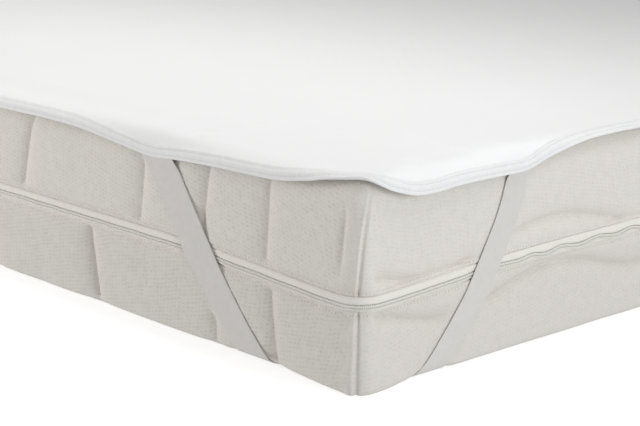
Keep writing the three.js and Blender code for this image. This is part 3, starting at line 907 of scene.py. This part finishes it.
def cloth_finish():
    finish, paint = new_finish("protector_cloth")
    knit, patches = noise_at(paint, 10 / 9), noise_at(paint, 40)
    height = knit * 0.6 + noise_at(paint, 4) * 0.8
    colour = (knit * 0.5 + patches * 0.5).between((0.920, 0.916, 0.911), (0.950, 0.946, 0.941))
    cover_with(paint, colour, 0.9, height, 0.10)
    return finish


under, over = cloth_face(0.0), cloth_face(cloth_thickness)
cloth_rings = np.concatenate([under[::-1], over])
protector_cloth = make_piece(
    "protector_cloth",
    *rings_mesh(cloth_rings, hem_around, distance_along(cloth_rings), False),
    cloth_finish(), "protector_cloth", "protector_sheet",
)


# Binding. A woven white tape is folded in half round the cloth's raw edge and fastened with two
# rows of straight stitches, which draw shallow lines along it and leave its upper edge as a rim.
tape_thickness = 0.0005
tape_clearance = 0.00012
stitch_lines = (0.0018, 0.0057)
stitch_dent = 0.00045
binding_rise = 0.0004
binding_places = (
    0.0, 0.0005, 0.0009, 0.0012, 0.0015, 0.0018, 0.0021, 0.0024, 0.0028, 0.0033, 0.0038, 0.0043,
    0.0048, 0.0051, 0.0054, 0.0057, 0.0060, 0.0063, 0.0066, 0.0069, 0.0072, 0.0075,
)
inner_places = (0.0, 0.0020, 0.0040, 0.0060, 0.0075)


def binding_relief(distance):
    """How far the tape's outer face stands proud of its own thickness: it puffs between the rows
    of stitches, which pull it in."""
    puffed = binding_rise * math.sin(math.pi * min(distance / binding_width, 1)) ** 0.5
    return puffed - sum(stitch_dent * bump(distance - line, 0.0007) for line in stitch_lines)


def binding_rings():
    """The tape's rings: up its outer leg inside the fold, over its top, down, round and up again.
    Each has a distance up the cloth, an offset outwards and a share of the puckering."""
    rings, outer, inner = [], cloth_thickness + tape_clearance, -tape_clearance
    middle = (outer + inner) / 2
    for distance in inner_places[::-1]:
        rings.append((distance, outer, 0))
    for turn in np.linspace(0, math.pi, 5)[1:-1]:
        half = (outer - inner) / 2
        rings.append((-half * 0.6 * math.sin(turn), middle + half * math.cos(turn), 0))
    for distance in inner_places:
        rings.append((distance, inner, 0))
    top = binding_width + tape_thickness * 0.4
    rings.append((top, inner - tape_thickness * 0.3, 0))
    rings.append((top - 0.0002, inner - tape_thickness * 0.8, 0))
    for distance in inner_places[::-1]:
        rings.append((distance, inner - tape_thickness, 0))
    for turn in np.linspace(math.pi, 0, 9)[1:-1]:
        half = (outer - inner) / 2 + tape_thickness
        rings.append((-half * 0.75 * math.sin(turn), middle + half * math.cos(turn), 0))
    for distance in binding_places:
        rings.append((distance, outer + tape_thickness + binding_relief(distance), 1))
    return rings + [(top, outer + tape_thickness * 0.4, 0)]


def binding_cloth():
    """Woven tape with two rows of stitches, whose places are counted up its outer face."""
    finish, paint = new_finish("binding_tape")
    around, down = surface_places(paint)
    weave = ((around + down * 1.4) / 0.9).wave()
    stitch, line = 0, 0
    for place in stitch_lines:
        beside = down - place * 1000
        row = 1 - beside.math("ABSOLUTE").blend(0.12, 0.5)
        line = line + row
        stitch = stitch + row * (around / 2.6 + place * 300).wave().blend(0.2, 0.5)
    height = weave * 0.4 + noise_at(paint, 0.8) * 0.4 + noise_at(paint, 5) * 1.2 + stitch * 1.5
    tone = 0.60 + weave * 0.15 + noise_at(paint, 6) * 0.35 - line * 0.38 + stitch * 0.18
    cover_with(paint, tone.between((0.70, 0.695, 0.69), (0.92, 0.915, 0.91)), 0.85, height, 0.12)
    return finish


binding_section = binding_rings()
pucker = (
    np.sin(2 * math.pi * hem_around / 0.0131 + 1.5 * np.sin(2 * math.pi * hem_around / 0.083))
    * (0.6 + 0.4 * np.sin(2 * math.pi * hem_around / 0.049))
)[:-1]
binding_points = np.array([
    hem_point(
        np.full((len(hem_along), 1), distance), (offset + 0.00012 * share * pucker)[:, None]
    )[0]
    for distance, offset, share in binding_section
])
binding_walk = distance_along(np.array(binding_section)[:, :2])
binding_walk -= binding_walk[-len(binding_places) - 1]
protector_edge = make_piece(
    "protector_edge",
    *rings_mesh(
        to_corner(binding_points, hem_number), hem_around,
        np.repeat(binding_walk[:, None], len(hem_along), 1), True,
    ),
    binding_cloth(), "binding_tape", "protector_binding",
)


# Straps. A wide white elastic band at each corner, ribbed lengthwise, is sewn behind the hem on
# both sides, and passes slanting down the sides and under the mattress corner.
strap_width, strap_length = 0.028, 0.42
strap_thickness = 0.0008
strap_edge_round = 0.0007
close_lift = 0.0006
strap_ribs = 14
rib_depth = 0.00012


def strap_section():
    """Points round the band: a share of its width and a height above its inner face."""

    def rounded(share):
        edge = np.minimum(share, 1 - share) * strap_width
        return np.sqrt(np.clip(edge / strap_edge_round, 0, 1))

    outer, inner = np.linspace(0, 1, 57), np.linspace(1, 0, 15)[1:-1]
    rib = rib_depth * (0.5 + 0.5 * np.cos(2 * math.pi * strap_ribs * outer))
    outer_height = strap_thickness * (0.5 + 0.5 * rounded(outer)) - rib
    inner_height = strap_thickness * 0.5 * (1 - rounded(inner))
    return np.concatenate([outer, inner]), np.concatenate([outer_height, inner_height])


def side_place(strap, from_corner, depth, height):
    """Places on one side of the corner, so far in from its face."""
    if strap["side"] < 0:
        return np.stack([half_length - from_corner, depth - half_width, height], -1)
    return np.stack([half_length - depth, from_corner - half_width, height], -1)


def strap_half(strap, corner_number, share, out):
    """The band's sections from the hem down one side and round the under edge."""
    pull = corner_pulls[corner_number]

    def across(near, far):
        return near + (far - near) * share

    along = strap["side"] * along_at(across(*strap["tuck"]), hem_corner_radius)
    point_at = hem_curves(corner_number, along)[0]
    fold_back = -tape_clearance - tape_thickness
    behind = (fold_back - tape_clearance - strap_thickness + out)[:, None]
    foot = point_at(np.full((len(share), 1), fold_back), behind)[0]
    head = point_at(np.full((len(share), 1), binding_width), behind)[0]
    sections = [
        foot + (head - foot) * (distance - fold_back) / (binding_width - fold_back)
        for distance in (0.0070, 0.0035, 0.0)
    ]
    close_rows = len(strap["rows"]) - len(strap["first_lifts"])
    lifts = [*strap["first_lifts"], *[(close_lift, close_lift)] * close_rows]
    for (height, near, far), edge_lifts in zip(strap["rows"], lifts):
        lift = close_lift + (across(*edge_lifts) - close_lift) * pull + out
        heights = np.full(len(share), height)
        sections.append(side_place(strap, across(near, far), -lift, heights))
    for (degrees, near, far), (_, lift) in zip(strap["turn"], strap_turn_lift):
        radius = strap_edge_radius + lift + out
        angle = math.radians(degrees)
        depth = strap_edge_radius - radius * math.cos(angle)
        height = strap_edge_radius - radius * math.sin(angle)
        sections.append(side_place(strap, across(near, far), depth, height))
    return sections


def elastic_finish():
    finish, paint = new_finish("elastic_tape")
    around, down = surface_places(paint)
    weave = (down / 1.0 + (around / 2.0).whole() * 0.5).wave()
    rib = (around / 2.0).wave()
    height = weave * 0.5 + rib * 0.3 + noise_at(paint, 0.7) * 0.4
    tone = weave * 0.3 + noise_at(paint, 5) * 0.7
    cover_with(paint, tone.between((0.665, 0.642, 0.618), (0.765, 0.738, 0.711)), 0.8, height, 0.12)
    return finish


def make_strap(corner_number, finish):
    share, out = strap_section()
    long_part = strap_half(long_strap, corner_number, share, out)
    short_part = strap_half(short_strap, corner_number, share, out)[::-1]
    under = [
        long_part[-1] + (short_part[0] - long_part[-1]) * step for step in (0.12, 0.37, 0.63, 0.88)
    ]
    sections = np.array([*long_part, *under, *short_part])
    key = distance_along(sections[:, len(share) // 3])
    table = np.column_stack([key, sections.reshape(len(sections), -1)])
    at = np.linspace(0, key[-1], round(key[-1] / 0.0035))
    rows = to_corner(read_table(table, at).T.reshape(len(at), len(share), 3), corner_number)
    width = np.append(share, share[0]) * strap_width
    down = np.repeat(at[:, None], len(share), 1)
    name = "strap_" + corner_names[corner_number]
    mesh = rings_mesh(rows, width, down, False)
    piece = make_piece(name + "_look", *mesh, finish, "elastic_tape", name)


elastic = elastic_finish()
for corner_number in range(4):
    make_strap(corner_number, elastic)


# Floor and light. A plain white floor, an even pale surround, and three wide soft lamps: one above
# the front, one at the left that grazes the long side, and one that lights the short side.
floor_finish, floor_paint = new_finish("floor")
floor_shader = floor_paint.node("BsdfPrincipled", sockets={
    "Base Color": (0.93, 0.93, 0.93, 1), "Roughness": 0.9,
    "Emission Color": (1, 1, 1, 1), "Emission Strength": 0.45,
})
floor_paint.node("OutputMaterial", sockets={"Surface": floor_shader})
bpy.ops.object.select_all(action="DESELECT")
bpy.ops.mesh.primitive_plane_add(size=24)
floor = bpy.context.object
floor.name = "floor"
floor.data.materials.append(floor_finish)
floor.visible_diffuse = False  # It glows, but lights nothing

world = bpy.data.worlds.new("studio")
world.use_nodes = True
sky = Signal(world.node_tree)
sky_place = sky.node("TexCoord", output=0)
sky_x, sky_y, sky_z = [
    sky_place.node("SeparateXYZ", sockets={0: sky_place}, output=axis) for axis in range(3)
]
sky_share = 0.58 - sky_z * 0.18 + sky_x * 0.06 + sky_y * 0.12
sky_colour = sky_share.between((0, 0, 0), (1, 1, 1))
backdrop = world.node_tree.nodes["Background"]
world.node_tree.links.new(sky_colour.socket, backdrop.inputs["Color"])
backdrop.inputs["Strength"].default_value = 0.9
bpy.context.scene.world = world
bpy.context.scene.view_settings.view_transform = "Standard"


def soft_lamp(name, place, aim, size, colour, power):
    lamp = bpy.data.objects.new(name, bpy.data.lights.new(name, "AREA"))
    lamp.data.shape = "RECTANGLE"
    lamp.data.size, lamp.data.size_y = size
    lamp.data.energy, lamp.data.color = power, colour
    lamp.location = place
    lamp.rotation_euler = (Vector(aim) - Vector(place)).to_track_quat("-Z", "Y").to_euler()
    lamp.visible_camera = False
    bpy.context.scene.collection.objects.link(lamp)


white = (1, 1, 1)
soft_lamp("lamp_above", (0.72, -0.28, 0.70), (0.72, -0.36, 0.1), (1.5, 0.3), white, 2.8)
soft_lamp("lamp_left", (-1.2, -2.0, 0.38), (0.6, -0.45, 0.07), (0.9, 0.7), white, 31)
soft_lamp("lamp_right", (3.0, -0.55, 0.55), (1.0, -0.1, 0.07), (1.3, 0.8), (0.92, 0.97, 1.0), 16.5)
